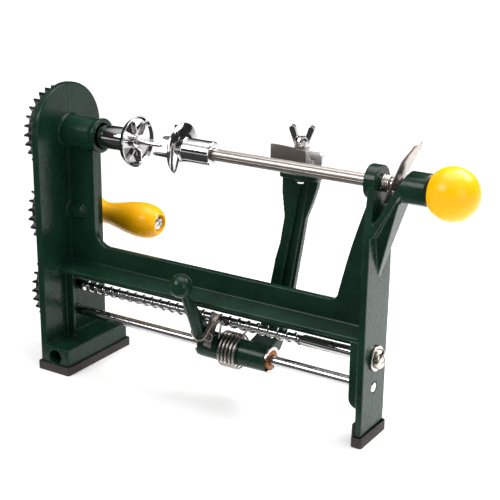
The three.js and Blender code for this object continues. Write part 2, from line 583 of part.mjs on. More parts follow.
// A curved strap of sheet along the front, with the floor and the post the head bolt passes through.
function bladeHousing() {
  const { x, y, z0, z1, back, sheet } = HEAD;
  const front = new THREE.SplineCurve(STRAP.map(([u, v]) => new THREE.Vector2(u, v))).getPoints(15);
  const behind = front.map((p) => new THREE.Vector2(p.x, p.y + sheet)).toReversed();
  const floorEnd = GUARD.x1 - 2;
  const corners = [[floorEnd, GUARD.front], [floorEnd, back], [168, back]]
    .map((p) => new THREE.Vector2(...p));
  const whole = join(
    alongZ(new THREE.Shape([...front, ...behind]), z0, z1),
    alongZ(new THREE.Shape([...front, ...corners]), z0, z0 + 1.6),
    post(x, y, z0 + 1, z1, 5.4),
  );
  return cut(whole, post(x, y, z0 - 1, z1 + 1, 2.9));
}

place('blade_housing', bladeHousing(), SATIN);

function guardBlock() {
  const { z0, z1 } = HEAD;
  const { x0, x1, front, deep } = GUARD;
  const low = z0 + 1.9;
  const shape = new THREE.Shape();
  shape.moveTo(x0, low);
  shape.lineTo(x1, low);
  shape.lineTo(x1, z1 - 2.6);
  shape.absarc(x1 - 2.6, z1 - 2.6, 2.6, 0, Math.PI / 2);
  shape.lineTo(x0, z1);
  const pinHole = new THREE.CylinderGeometry(0.7, 0.7, deep + 2, 8);
  pinHole.translate(x1 - 6.6, front + deep / 2, z0 + 11.4);
  return cut(alongY(shape, front, front + deep, 5), solid(pinHole));
}

place('guard_block', guardBlock(), SATIN);
place('peeling_blade', box(GUARD.x0 - 0.7, GUARD.x0 - 0.2, GUARD.front + 0.8, GUARD.front + 6,
  HEAD.z0 + 1.9, HEAD.z1 - 1), STEEL);

function wingNut() {
  const { base, hub, tip, span, turn } = WING;
  const wings = [-1, 1].map((side) => hull([
    [1.4, 2.2, base + 0.6], [5.4, 2.2, base], [span - 4, 2.4, tip - 1], [span - 1.8, 2.4, tip],
    [span, 2.2, tip - 1.8], [2.4, 1.8, hub]].flatMap(([u, half, z]) => [
    [side * u, half, z], [side * u, -half, z]])));
  const nut = cut(join(post(0, 0, base, hub, 5.4, 4.6), ...wings), post(0, 0, base - 1, base + 20, 2.8));
  return nut.rotate([0, 0, turn]).translate([HEAD.x, HEAD.y, 0]);
}

place('wing_nut', wingNut(), CHROME);

// ---------------------------------------------------------------- tail shaft and chuck
place('tail_shaft', round(TAIL_SHAFT.x0, TAIL_SHAFT.x1, TAIL_SHAFT.r, 0, SPINDLE_Z, 24), SATIN);

function ballKnob() {
  const { x, r, flat } = KNOB;
  const start = Math.acos((x - flat) / r);
  const profile = [[TAIL_SHAFT.x1 + 0.6, 0], [TAIL_SHAFT.x1 + 0.6, 4.5], [flat, 4.5]];
  for (let i = 0; i <= 12; i += 1) {
    const angle = start + ((Math.PI - start) * i) / 12;
    profile.push([x - r * Math.cos(angle), Math.max(0, r * Math.sin(angle))]);
  }
  profile[profile.length - 1][1] = 0;
  return turned(profile, 0, SPINDLE_Z, 24);
}

place('ball_knob', ballKnob(), YELLOW);

function tailChuck() {
  const { x, r, hubX, hubR } = TAIL_CHUCK;
  const body = turned([[x + 3.2, 0], [x + 2.6, 8.6], [x + 1.4, 15], [x + 0.4, r - 1.2], [x, r - 0.8], [x, r],
    [x + 0.9, r], [x + 2.8, 15.4], [x + 4.2, 10.5], [x + 4.8, hubR], [hubX - 0.6, hubR],
    [hubX, hubR - 0.6], [hubX, 4.5], [TAIL_SHAFT.x0 - 0.4, 4.5], [TAIL_SHAFT.x0 - 0.4, 0]], 0, SPINDLE_Z, 24);
  const prong = [[x + 2.4, 12.4], [x + 2.4, 16], [x - 6, 13.4], [x - 6, 16.8]];
  const prongs = [1, -1].map((side) => hull(prong.flatMap(([px, height]) => [
    [px, -0.6, SPINDLE_Z + side * height], [px, 0.6, SPINDLE_Z + side * height]])));
  return join(body, ...prongs);
}

function chuckFork() {
  const { x } = TAIL_CHUCK;
  const base = turned([[x - 0.6, 0], [x - 0.6, 8.4], [x + 2, 8.4], [x + 2, 0]], 0, SPINDLE_Z, 20);
  const tines = [-1, 1].map((side) => {
    const [y, z] = [side * 6, SPINDLE_Z + side * 4.6];
    return hull([[x + 1, 1.8], [x - 21, 0.5]].flatMap(([px, half]) => [
      [px, y - 0.8, z - half], [px, y + 0.8, z - half], [px, y - 0.8, z + half], [px, y + 0.8, z + half]]));
  });
  return join(base, ...tines);
}

place('tail_chuck', tailChuck(), CHROME);
place('chuck_fork', chuckFork(), CHROME);

// ---------------------------------------------------------------- tail shaft lock
function lockPlate() {
  const { x, z, lean, lower, tab, tabLean, half, thick } = PLATE_LOCK;
  const [a, b] = [degrees(lean), degrees(tabLean)];
  const bend = [x + lower * Math.sin(a), z + lower * Math.cos(a)];
  const tip = [bend[0] + tab * Math.sin(b), bend[1] + tab * Math.cos(b)];
  const slab = (from, to, angle, halfFrom, halfTo) => {
    const [nx, nz] = [thick * Math.cos(angle), -thick * Math.sin(angle)];
    return hull(mirrored([[from[0], halfFrom, from[1]], [to[0], halfTo, to[1]],
      [from[0] + nx, halfFrom, from[1] + nz], [to[0] + nx, halfTo, to[1] + nz]]));
  };
  const middle = [bend[0] + 0.62 * (tip[0] - bend[0]), bend[1] + 0.62 * (tip[1] - bend[1])];
  const plate = join(slab([x, z], bend, a, 7.5, half), slab(bend, middle, b, half, 7.6),
    slab(middle, tip, b, 7.6, 4.4));
  return cut(plate, round(250, 290, TAIL_SHAFT.r + 0.9, 0, SPINDLE_Z, 20));
}

place('lock_plate', lockPlate(), SATIN);
place('lock_spring', wire(coilPath(LOCK_COIL, SPINDLE_Z, degrees(200)), LOCK_COIL.wire, 34, 5), STEEL);

export default peeler;
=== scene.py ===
"""Looks for the apple peeler corer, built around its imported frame.

Sizes are millimetres in the frame's axes: +X along the spindle towards the ball knob, +Y away from the
user, +Z up from the table. new_mesh() turns them into metres.
"""
import math

import bmesh
import bpy
from mathutils import Matrix, Vector


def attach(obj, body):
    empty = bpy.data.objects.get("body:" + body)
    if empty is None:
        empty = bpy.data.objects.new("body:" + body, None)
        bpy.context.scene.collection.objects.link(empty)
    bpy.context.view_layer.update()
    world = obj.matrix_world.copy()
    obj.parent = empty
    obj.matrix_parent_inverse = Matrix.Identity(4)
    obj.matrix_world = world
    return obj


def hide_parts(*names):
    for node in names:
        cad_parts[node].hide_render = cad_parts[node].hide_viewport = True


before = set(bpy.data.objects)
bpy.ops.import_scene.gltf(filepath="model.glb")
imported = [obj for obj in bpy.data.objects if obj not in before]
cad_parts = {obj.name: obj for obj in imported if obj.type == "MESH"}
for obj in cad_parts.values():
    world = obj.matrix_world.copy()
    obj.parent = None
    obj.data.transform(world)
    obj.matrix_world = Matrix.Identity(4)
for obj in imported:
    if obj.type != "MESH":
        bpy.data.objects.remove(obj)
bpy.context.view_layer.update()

MM = 0.001
SPINDLE = (0.0, 181.5)      # Y and Z of the spindle and tail shaft
AXIS_Z = SPINDLE[1]
SCREW = (0.0, 60.0)         # Y and Z of the lead screw
ROD = (0.0, 38.5)           # Y and Z of the guide rod
IDLER = (0.0, 120.75)       # Y and Z of the idler stud
CRANK_PIN = (47.5, 104.5)   # Y and Z of the grip's axle
CLAMP_HOLE = (8.2, 12)      # X and Z of the bore in the foot block
RIVET = (135.6, 52)         # X and Z of the follower strip's rivet
HEAD_BOLT = (181.5, 32)     # X and Y of the bolt that the blade head turns on
WING_TURN = 18              # degrees that the wing nut stands turned about its bolt
PLATE_HALF = 36.2           # half the width of the headstock plate
WEB_HALF = 2.5              # half the thickness of the web and keel
BEAM_BOTTOM = 76.5
TAIL_X = 256.5              # where the web meets the tail leg
FINE = 72                   # facets round a turned piece


# ---------------------------------------------------------------- mesh helpers
def new_mesh(name, points, faces):
    """A mesh object from points in millimetres, with its faces turned outwards."""
    mesh = bpy.data.meshes.new(name)
    mesh.from_pydata([Vector(p) * MM for p in points], [], faces)
    shape = bmesh.new()
    shape.from_mesh(mesh)
    bmesh.ops.remove_doubles(shape, verts=shape.verts, dist=1e-7)
    bmesh.ops.recalc_face_normals(shape, faces=shape.faces)
    shape.to_mesh(mesh)
    shape.free()
    thing = bpy.data.objects.new(name, mesh)
    bpy.context.scene.collection.objects.link(thing)
    return thing


def lathe(name, profile, centre, facets=FINE, ring=False):
    """Turns [x, radius] points about a line along X. A ring profile closes on itself."""
    points, faces = [], []
    for x, r in profile:
        for i in range(facets):
            turn = 2 * math.pi * i / facets
            points.append((x, centre[0] + r * math.cos(turn), centre[1] + r * math.sin(turn)))
    rows = len(profile)
    for row in range(rows if ring else rows - 1):
        low, high = row * facets, ((row + 1) % rows) * facets
        for i in range(facets):
            j = (i + 1) % facets
            faces.append((low + i, low + j, high + j, high + i))
    if not ring:
        faces.append(tuple(range(facets)))
        faces.append(tuple(range((rows - 1) * facets, rows * facets)))
    return new_mesh(name, points, faces)


def prism(name, outline, low, high, along="y"):
    """An outline pushed from low to high. It is (y, z) along x, (x, z) along y and (x, y) along z."""
    place = {
        "x": lambda u, v, w: (w, u, v),
        "y": lambda u, v, w: (u, w, v),
        "z": lambda u, v, w: (u, v, w),
    }[along]
    count = len(outline)
    points = [place(u, v, low) for u, v in outline] + [place(u, v, high) for u, v in outline]
    faces = [tuple(range(count)), tuple(range(count, 2 * count))]
    faces += [(i, (i + 1) % count, (i + 1) % count + count, i + count) for i in range(count)]
    return new_mesh(name, points, faces)


def hull(name, points):
    """The convex body round a set of points."""
    shape = bmesh.new()
    for p in points:
        shape.verts.new(Vector(p) * MM)
    bmesh.ops.convex_hull(shape, input=shape.verts)
    loose = [v for v in shape.verts if not v.link_faces]
    bmesh.ops.delete(shape, geom=loose, context="VERTS")
    bmesh.ops.recalc_face_normals(shape, faces=shape.faces)
    mesh = bpy.data.meshes.new(name)
    shape.to_mesh(mesh)
    shape.free()
    thing = bpy.data.objects.new(name, mesh)
    bpy.context.scene.collection.objects.link(thing)
    return thing


def block(name, x0, x1, y0, y1, z0, z1):
    return hull(name, [(x, y, z) for x in (x0, x1) for y in (y0, y1) for z in (z0, z1)])


def both_sides(points):
    """Each (x, half width, z) at plus and minus that half width."""
    return [(x, side * half, z) for x, half, z in points for side in (-1, 1)]


def arc(centre, radius, start, end, steps=12):
    """Points round a centre between two angles in degrees."""
    angles = [math.radians(start + (end - start) * i / steps) for i in range(steps + 1)]
    return [(centre[0] + radius * math.cos(a), centre[1] + radius * math.sin(a)) for a in angles]


def wire(name, path, radius, sides=10):
    """A round wire along a list of points, with rounded ends."""
    path = [Vector(p) for p in path]
    last = len(path) - 1
    points, faces = [], []
    tangents = [(path[min(i + 1, last)] - path[max(i - 1, 0)]).normalized() for i in range(last + 1)]
    across = tangents[0].orthogonal().normalized()
    for i, (p, tangent) in enumerate(zip(path, tangents)):
        across = (across - tangent * across.dot(tangent)).normalized()
        other = tangent.cross(across)
        for k in range(sides):
            turn = 2 * math.pi * k / sides
            points.append(p + (across * math.cos(turn) + other * math.sin(turn)) * radius)
        if i:
            low, high = (i - 1) * sides, i * sides
            for k in range(sides):
                after = (k + 1) % sides
                faces.append((low + k, low + after, high + after, high + k))
    tips = (path[0] - tangents[0] * radius * 0.6, path[-1] + tangents[-1] * radius * 0.6)
    for first, tip in zip((0, last * sides), tips):
        points.append(tip)
        faces += [(first + k, first + (k + 1) % sides, len(points) - 1) for k in range(sides)]
    return new_mesh(name, points, faces)


def rod(name, x0, x1, radius, centre, facets=48):
    """A plain cylinder along X."""
    return lathe(name, [(x0, radius), (x1, radius)], centre, facets)


def upright(name, x, y, z0, z1, radius, facets=32):
    """A plain cylinder along Z."""
    return prism(name, arc((x, y), radius, 0, 360 * (facets - 1) / facets, facets - 1), z0, z1, "z")


def across(name, x, z, y0, y1, radius, facets=32):
    """A plain cylinder along Y."""
    return prism(name, arc((x, z), radius, 0, 360 * (facets - 1) / facets, facets - 1), y0, y1, "y")


def rounded(x0, x1, y0, y1, r):
    """The outline of a rectangle with round corners."""
    corners = ((x1 - r, y0 + r, -90), (x1 - r, y1 - r, 0), (x0 + r, y1 - r, 90), (x0 + r, y0 + r, 180))
    return [p for x, y, start in corners for p in arc((x, y), r, start, start + 90, 5)]


def curve_through(anchors, steps=10):
    """A smooth run of points through given anchors."""
    dense = []
    spots = [Vector(anchors[0])] + [Vector(a) for a in anchors] + [Vector(anchors[-1])]
    for i in range(1, len(spots) - 2):
        before, a, b, after = spots[i - 1:i + 3]
        for k in range(steps):
            t = k / steps
            dense.append(0.5 * (2 * a + (b - before) * t + (2 * before - 5 * a + 4 * b - after) * t * t
                                + (3 * a - before - 3 * b + after) * t ** 3))
    dense.append(spots[-2])
    return dense


def sphere(name, centre, radius, rings=24, facets=48):
    profile = [(-radius * math.cos(math.pi * i / rings), radius * math.sin(math.pi * i / rings))
               for i in range(1, rings)]
    ball = lathe(name, profile, (0, 0), facets)
    ball.data.transform(Matrix.Translation(Vector(centre) * MM))
    return ball


def turned_about(thing, degrees, centre):
    """Turns a piece about a line along X through centre."""
    pivot = Matrix.Translation(Vector((0, centre[0], centre[1])) * MM)
    thing.data.transform(pivot @ Matrix.Rotation(math.radians(degrees), 4, "X") @ pivot.inverted())
    return thing


def settle(thing):
    """Applies every modifier to the mesh."""
    shown = bpy.context.evaluated_depsgraph_get()
    mesh = bpy.data.meshes.new_from_object(thing.evaluated_get(shown))
    thing.modifiers.clear()
    thing.data = mesh
    return thing


def combine(kind, body, tools):
    """Joins or cuts body with each tool in turn, and removes the tools."""
    for tool in tools:
        step = body.modifiers.new("combine", "BOOLEAN")
        step.operation, step.object, step.solver = kind, tool, "MANIFOLD"
        settle(body)
        bpy.data.objects.remove(tool)
    return body


def soften(thing, width, angle=30, segments=2):
    """Rounds the sharp edges of a clean mesh."""
    edge = thing.modifiers.new("soften", "BEVEL")
    edge.width, edge.segments, edge.limit_method = width * MM, segments, "ANGLE"
    edge.angle_limit = math.radians(angle)
    edge.use_clamp_overlap = True
    return settle(thing)


def cast_skin(thing, voxel, rounds):
    """Turns joined shapes into one skin with soft corners and fillets, as a casting has."""
    skin = thing.modifiers.new("skin", "REMESH")
    skin.mode, skin.voxel_size = "VOXEL", voxel * MM
    smooth = thing.modifiers.new("smooth", "SMOOTH")
    smooth.factor, smooth.iterations = 0.5, rounds
    return settle(thing)


def finish(thing, material, body, *nodes, slot=None, smooth=40):
    """Gives a piece its material and body, and hides the CAD nodes that it stands for."""
    thing.data.materials.clear()
    thing.data.materials.append(material)
    for face in thing.data.polygons:
        face.use_smooth = True
    thing.data.set_sharp_from_angle(angle=math.radians(smooth))
    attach(thing, body)
    if nodes:
        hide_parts(*nodes)
    return thing


# ---------------------------------------------------------------- materials
class Surface:
    """A material whose nodes are added one by one, in object coordinates."""

    def __init__(self, name, colour, metallic, roughness, **constants):
        self.material = bpy.data.materials.new(name)
        self.material.use_nodes = True
        self.tree = self.material.node_tree
        self.shader = self.tree.nodes["Principled BSDF"]
        self.shader.inputs["Base Color"].default_value = (*colour, 1)
        self.shader.inputs["Metallic"].default_value = metallic
        self.shader.inputs["Roughness"].default_value = roughness
        for key, value in constants.items():
            self.shader.inputs[key.replace("_", " ").title().replace("Ior", "IOR")].default_value = value
        self.place = self.tree.nodes.new("ShaderNodeTexCoord").outputs["Object"]
        self.normal = None

    def noise(self, scale, detail=3, stretch=(1, 1, 1), rough=0.5):
        mapping = self.tree.nodes.new("ShaderNodeMapping")
        mapping.inputs["Scale"].default_value = stretch
        self.tree.links.new(self.place, mapping.inputs["Vector"])
        node = self.tree.nodes.new("ShaderNodeTexNoise")
        node.inputs["Scale"].default_value = scale
        node.inputs["Detail"].default_value = detail
        node.inputs["Roughness"].default_value = rough
        self.tree.links.new(mapping.outputs["Vector"], node.inputs["Vector"])
        return node.outputs["Fac"]

    def spread(self, value, low, high, to_low=0.0, to_high=1.0):
        node = self.tree.nodes.new("ShaderNodeMapRange")
        for key, number in (("From Min", low), ("From Max", high), ("To Min", to_low), ("To Max", to_high)):
            node.inputs[key].default_value = number
        self.tree.links.new(value, node.inputs["Value"])
        return node.outputs["Result"]

    def mix(self, factor, first, second):
        node = self.tree.nodes.new("ShaderNodeMix")
        node.data_type = "RGBA"
        self.tree.links.new(factor, node.inputs["Factor"])
        for socket, value in (("A", first), ("B", second)):
            target = next(s for s in node.inputs if s.name == socket and s.type == "RGBA")
            if isinstance(value, tuple):
                target.default_value = (*value, 1)
            else:
                self.tree.links.new(value, target)
        return next(s for s in node.outputs if s.type == "RGBA")

    def shades(self, scale, detail, first, second, low=0.3):
        """Lets the colour drift between two shades."""
        self.colour(self.mix(self.spread(self.noise(scale, detail), low, 0.7), first, second))

    def sheen_range(self, scale, detail, low, high, top=0.7):
        """Lets the roughness drift between two values."""
        self.roughness(self.spread(self.noise(scale, detail), 0.3, top, low, high))

    def colour(self, value):
        self.tree.links.new(value, self.shader.inputs["Base Color"])

    def roughness(self, value):
        self.tree.links.new(value, self.shader.inputs["Roughness"])

    def bump(self, height, distance, strength=1.0):
        node = self.tree.nodes.new("ShaderNodeBump")
        node.inputs["Distance"].default_value = distance * MM
        node.inputs["Strength"].default_value = strength
        self.tree.links.new(height, node.inputs["Height"])
        if self.normal:
            self.tree.links.new(self.normal, node.inputs["Normal"])
        self.normal = node.outputs["Normal"]
        self.tree.links.new(self.normal, self.shader.inputs["Normal"])


def enamel():
    """Dark green gloss enamel over a sand casting: thin orange peel and slow dips."""
    surface = Surface("green_enamel", (0.005, 0.024, 0.013), 0, 0.2, specular_ior_level=0.24)
    surface.shades(45, 3, (0.0035, 0.019, 0.010), (0.0062, 0.029, 0.016), 0.35)
    surface.sheen_range(260, 4, 0.16, 0.34, 0.75)
    surface.bump(surface.noise(210, 3), 0.22, 0.5)
    surface.bump(surface.noise(900, 2), 0.03, 0.6)
    return surface.material


def chrome():
    """Polished chrome plate with faint wipe marks."""
    surface = Surface("chrome", (0.62, 0.61, 0.62), 1, 0.08)
    surface.shades(120, 3, (0.57, 0.56, 0.57), (0.67, 0.66, 0.66), 0.35)
    surface.sheen_range(300, 4, 0.05, 0.14)
    surface.bump(surface.noise(160, 2), 0.05, 0.4)
    return surface.material


def brushed(name, first, second, low, high, stretch=(1, 14, 14), scale=160):
    """Steel with fine lines left by a belt or a wheel."""
    surface = Surface(name, first, 1, low)
    grain = surface.noise(scale, 4, stretch)
    surface.colour(surface.mix(surface.spread(grain, 0.3, 0.7), first, second))
    surface.roughness(surface.spread(surface.noise(scale * 1.7, 3, stretch), 0.3, 0.7, low, high))
    surface.bump(grain, 0.03, 0.6)
    return surface.material


def black_oxide():
    """Black oxide with small grey wear spots."""
    surface = Surface("black_oxide", (0.012, 0.012, 0.013), 0.5, 0.4)
    wear = surface.spread(surface.noise(700, 4), 0.45, 0.75)
    surface.colour(surface.mix(wear, (0.010, 0.010, 0.011), (0.045, 0.044, 0.043)))
    surface.sheen_range(420, 3, 0.32, 0.55)
    surface.bump(surface.noise(1200, 3), 0.04, 0.5)
    return surface.material


def gear_steel(name, centre):
    """Black oxide that the tooth flanks have worn through to bare steel."""
    surface = Surface(name + "_steel", (0.012, 0.012, 0.013), 0.6, 0.4)
    middle = surface.tree.nodes.new("ShaderNodeVectorMath")
    middle.operation = "MULTIPLY_ADD"
    middle.inputs[1].default_value = (0, 1, 1)
    middle.inputs[2].default_value = (0, -centre[0] * MM, -centre[1] * MM)
    surface.tree.links.new(surface.place, middle.inputs[0])
    away = surface.tree.nodes.new("ShaderNodeVectorMath")
    away.operation = "LENGTH"
    surface.tree.links.new(middle.outputs[0], away.inputs[0])
    radius = away.outputs["Value"]
    root = surface.spread(radius, 27.6 * MM, 28.2 * MM)
    tip = surface.spread(radius, 30.4 * MM, 31.2 * MM)
    flank = surface.mix(root, (0.011, 0.011, 0.012), (0.17, 0.16, 0.155))
    surface.colour(surface.mix(tip, flank, (0.013, 0.013, 0.014)))
    surface.sheen_range(420, 3, 0.3, 0.5)
    surface.bump(surface.noise(1200, 3), 0.04, 0.5)
    return surface.material


def rubber():
    """Matt black moulded rubber with a brown bloom."""
    surface = Surface("rubber", (0.016, 0.012, 0.012), 0, 0.6)
    surface.shades(60, 3, (0.012, 0.009, 0.009), (0.030, 0.021, 0.019))
    surface.sheen_range(500, 3, 0.5, 0.8)
    surface.bump(surface.noise(1500, 3), 0.05, 0.5)
    return surface.material


def yellow_plastic():
    """Moulded gloss plastic with slow shade changes and a trace of sink marks."""
    surface = Surface("yellow_plastic", (0.95, 0.50, 0.004), 0, 0.25, specular_ior_level=0.3)
    surface.shades(30, 2, (0.93, 0.42, 0.001), (0.98, 0.49, 0.003))
    surface.sheen_range(350, 3, 0.2, 0.34)
    surface.bump(surface.noise(180, 2), 0.05, 0.35)
    return surface.material


def bronze():
    """Oil-filled sintered bronze with dark pores."""
    surface = Surface("bronze", (0.34, 0.14, 0.05), 0.85, 0.4)
    pores = surface.spread(surface.noise(1600, 3), 0.35, 0.6)
    surface.colour(surface.mix(pores, (0.09, 0.035, 0.015), (0.42, 0.17, 0.06)))
    surface.sheen_range(600, 3, 0.32, 0.6)
    surface.bump(pores, 0.03, 0.6)
    return surface.material


GREEN = enamel()
CHROME = chrome()
SATIN = brushed("satin_steel", (0.36, 0.32, 0.29), (0.47, 0.43, 0.40), 0.3, 0.44)
PALE_STEEL = brushed("pale_steel", (0.66, 0.65, 0.65), (0.74, 0.73, 0.73), 0.36, 0.5)
NICKEL = brushed("nickel_steel", (0.50, 0.46, 0.42), (0.64, 0.60, 0.56), 0.16, 0.3, (3, 3, 3), 300)
DARK_STEEL = brushed("dark_steel", (0.16, 0.14, 0.13), (0.26, 0.23, 0.21), 0.25, 0.45, (3, 3, 3), 260)
SPRING_STEEL = brushed("spring_steel", (0.34, 0.30, 0.27), (0.46, 0.42, 0.38), 0.18, 0.32, (3, 3, 3), 280)
BLACK = black_oxide()
RUBBER = rubber()
YELLOW = yellow_plastic()
BRONZE = bronze()


# ---------------------------------------------------------------- cast frame
def headstock():
    """The plate behind the gears, with its foot block."""
    half = PLATE_HALF
    plate = prism("frame_casting", [(-half, 3.3), (half, 3.3)] + arc(SPINDLE, half, 0, 180, 48), -5.7, 0, "x")
    soften(plate, 0.8, 40, 3)
    foot = block("foot", -5.7, 21, -half, half, 3.3, 20)
    soften(foot, 0.8, 40, 3)
    rib = block("rib", -1, 6, -10.5, -7.5, 19, BEAM_BOTTOM)
    seam = block("seam", -0.5, 0.28, -0.35, 0.35, 190, 215.6)
    return plate, [foot, rib, seam]


def spindle_boss():
    profile = [(-1, 12.9), (0.4, 12.7), (1.2, 12.1), (27.2, 12.1), (28.6, 12.4), (29.8, 12.9), (31.2, 12.95),
               (32, 12.4)]
    return lathe("boss", profile, SPINDLE, 96)


def idler_boss():
    dome = [(12.4 + 3.2 * math.sin(a), 6.4 * math.cos(a)) for a in (0.3, 0.6, 0.9, 1.2, 1.45)]
    return lathe("stud_boss", [(-1, 7.6), (0.4, 7.2), (1.4, 6.8), (12.4, 6.4)] + dome, IDLER, 48)


def web():
    """Column, beam and leg share one web on the centre plane."""
    outline = [(-1, BEAM_BOTTOM), (TAIL_X, BEAM_BOTTOM), (TAIL_X, 172), (252, 172)]
    for i in range(1, 11):
        t = i / 10
        outline.append((252 - 20 * t - 1.2 * math.sin(math.pi * t), 172 - 68 * t))
    outline += [(231, 99.4), (229.4, 97), (226.8, 95.8)]
    outline += arc((35.5, 107.8), 12, 270, 180, 14)
    outline += [(23.5, AXIS_Z), (-1, AXIS_Z)]
    return prism("web", outline, -WEB_HALF, WEB_HALF)


def beam_flange():
    """The beam's lower lip, which narrows towards the tail leg."""
    points = []
    for x, half in ((-1, 20), (TAIL_X, 17)):
        points += both_sides([(x, half, 75.5), (x, half, 78.2), (x, WEB_HALF, 81)])
    return hull("flange", points)


def tail_leg():
    """The flat leg, and its top that narrows to the tail boss."""
    lower = prism("leg", [(-17.2, 3.3), (17.2, 3.3), (17.5, 115), (17, 152), (-17, 152), (-17.5, 115)],
                  255.5, 260.2, "x")
    upper = hull("leg_top", both_sides([(255.5, 17, 150.5), (260.2, 17, 150.5), (254.5, 11.4, AXIS_Z),
                                        (259.2, 11.4, AXIS_Z)]))
    return [lower, upper]


def bearing_block():
    """The thickening of the leg that carries the lead screw and guide rod."""
    outline = [(TAIL_X, 77.5), (249, 77.5)] + arc((256, 34), 7, 180, 270, 8) + [(TAIL_X, 27)]
    return prism("block", outline, -16, 16)


def knob_branch():
    """The leaning slab that carries the outer tail boss, and the gusset under it."""
    lean = math.radians(27)
    up = (math.sin(lean), math.cos(lean))
    foot_x, foot_z = 261.2, 157.2
    thick = 4.3

    def at(along, depth):
        return foot_x + along * up[0] + depth * up[1], foot_z + along * up[1] - depth * up[0]

    high = (AXIS_Z - foot_z) / up[1]
    points = []
    for along, half in ((-8, 17.1), (high, 10.7)):
        for depth in (0, thick):
            x, z = at(along, depth)
            points += both_sides([(x, half, z)])
    slab = hull("branch", points)
    boss = lathe("knob_boss", [(262, 10.7), (292.3, 10.7), (293.1, 10.4), (293.5, 9.8)], SPINDLE, 72)
    front = [at(-40, 0), at(80, 0), at(80, -60), at(-40, -60)]
    combine("DIFFERENCE", boss, [prism("front", front, -30, 30)])
    gusset = hull("gusset", both_sides([(259.2, 1.6, 115), (259.2, 9, 150), (270, 10, 176),
                                        (275.5, 9.6, 172)]))
    return [slab, boss, gusset]


def cast_frame():
    body, extras = headstock()
    keel = block("keel", -1, TAIL_X, -WEB_HALF, WEB_HALF, 66.2, BEAM_BOTTOM)
    extras += [web(), keel, beam_flange(), *tail_leg()]
    extras += [bearing_block(), rod("tail_boss", 250.8, 259.2, 11.5, SPINDLE, 72)]
    extras += [*knob_branch(), spindle_boss(), idler_boss()]
    combine("UNION", body, extras)
    combine("DIFFERENCE", body, [
        rod("bore", -10, 20.2, 8.4, SPINDLE),
        rod("bore", 19, 40, 9.4, SPINDLE),
        rod("bore", -10, 9, 3.4, IDLER, 24),
        rod("bore", -10, 10, 6.3, SCREW),
        rod("bore", -10, 10, 4.1, ROD),
        rod("bore", 240, 270, 4.1, ROD),
        rod("bore", 240, 270, 4.7, SCREW),
        rod("bore", 240, 300, 4.7, SPINDLE),
        across("bore", *CLAMP_HOLE, -40, -6, 5.8)])
    cast_skin(body, 0.6, 3)
    finish(body, GREEN, "stand", "cast_frame", slot="green_enamel", smooth=60)


cast_frame()


# ---------------------------------------------------------------- rubber feet
def feet():
    pad = prism("foot_pad", rounded(-7.7, 23, -38.2, 38.2, 2.2), 0, 6.3, "z")
    combine("DIFFERENCE", pad, [block("seat", -6, 21.3, -36.5, 36.5, 3, 8)])
    soften(pad, 0.5, 40, 3)
    finish(pad, RUBBER, "stand", "headstock_pad", slot="rubber")
    boot = prism("leg_boot", rounded(253.4, 261.9, -18.9, 18.9, 2), 0, 7.4, "z")
    wall = block("wall", 253.4, 255, -16.9, 16.9, 5, 16.3)
    combine("UNION", boot, [wall])
    combine("DIFFERENCE", boot, [block("seat", 255.2, 260.5, -17.8, 17.8, 3, 10)])
    soften(boot, 0.4, 40, 2)
    finish(boot, RUBBER, "stand", "tail_boot", slot="rubber")


feet()


# ---------------------------------------------------------------- gears
def gear(name, centre, tooth_up, bore, body, node):
    """A thin-toothed spur gear with a turned recess on each side."""
    teeth, pitch_r = 28, 30.375
    step = 360 / teeth
    rim = []
    for tooth in range(teeth):
        middle = 90 + (tooth + (0 if tooth_up else 0.5)) * step
        flank = ((27.75, 3.3), (28.6, 2.7), (pitch_r, 2.0), (31.7, 1.25), (32.3, 1.0))
        rim += [(r, math.radians(middle - half)) for r, half in flank]
        rim += [(r, math.radians(middle + half)) for r, half in reversed(flank)]
    outline = [(centre[0] + r * math.cos(a), centre[1] + r * math.sin(a)) for r, a in rim]
    wheel = prism(name, outline, -16, -8, "x")
    recess = [lathe("recess", [(x0, 11), (x0, 23.5), (x1, 23.5), (x1, 11)], centre, 48, ring=True)
              for x0, x1 in ((-17, -13.6), (-10.4, -7))]
    combine("DIFFERENCE", wheel, [rod("bore", -20, 0, bore, centre), *recess])
    soften(wheel, 0.18, 35, 1)
    finish(wheel, gear_steel(name, centre), body, node, slot="black_gear")


gear("gear_spindle", SPINDLE, True, 6.3, "crank", "spindle_gear")
gear("gear_idler", IDLER, False, 3.3, "idler", "idler_gear")
gear("gear_feed", SCREW, True, 4.3, "feed_screw", "lead_screw_gear")


# ---------------------------------------------------------------- spindle and drive chuck
def spindle():
    profile = [(-31, 3.2), (-30.4, 3.8), (-23.4, 3.8), (-23.4, 4.8), (-16.4, 4.8), (-16.4, 6), (22, 6),
               (22, 8.5), (22.4, 8.8), (58.4, 8.8), (58.8, 8.4), (58.8, 4), (62.9, 4)]
    shaft = soften(lathe("spindle_rod", profile, SPINDLE), 0.12, 40, 2)
    finish(shaft, CHROME, "crank", "spindle_shaft", slot="chrome")


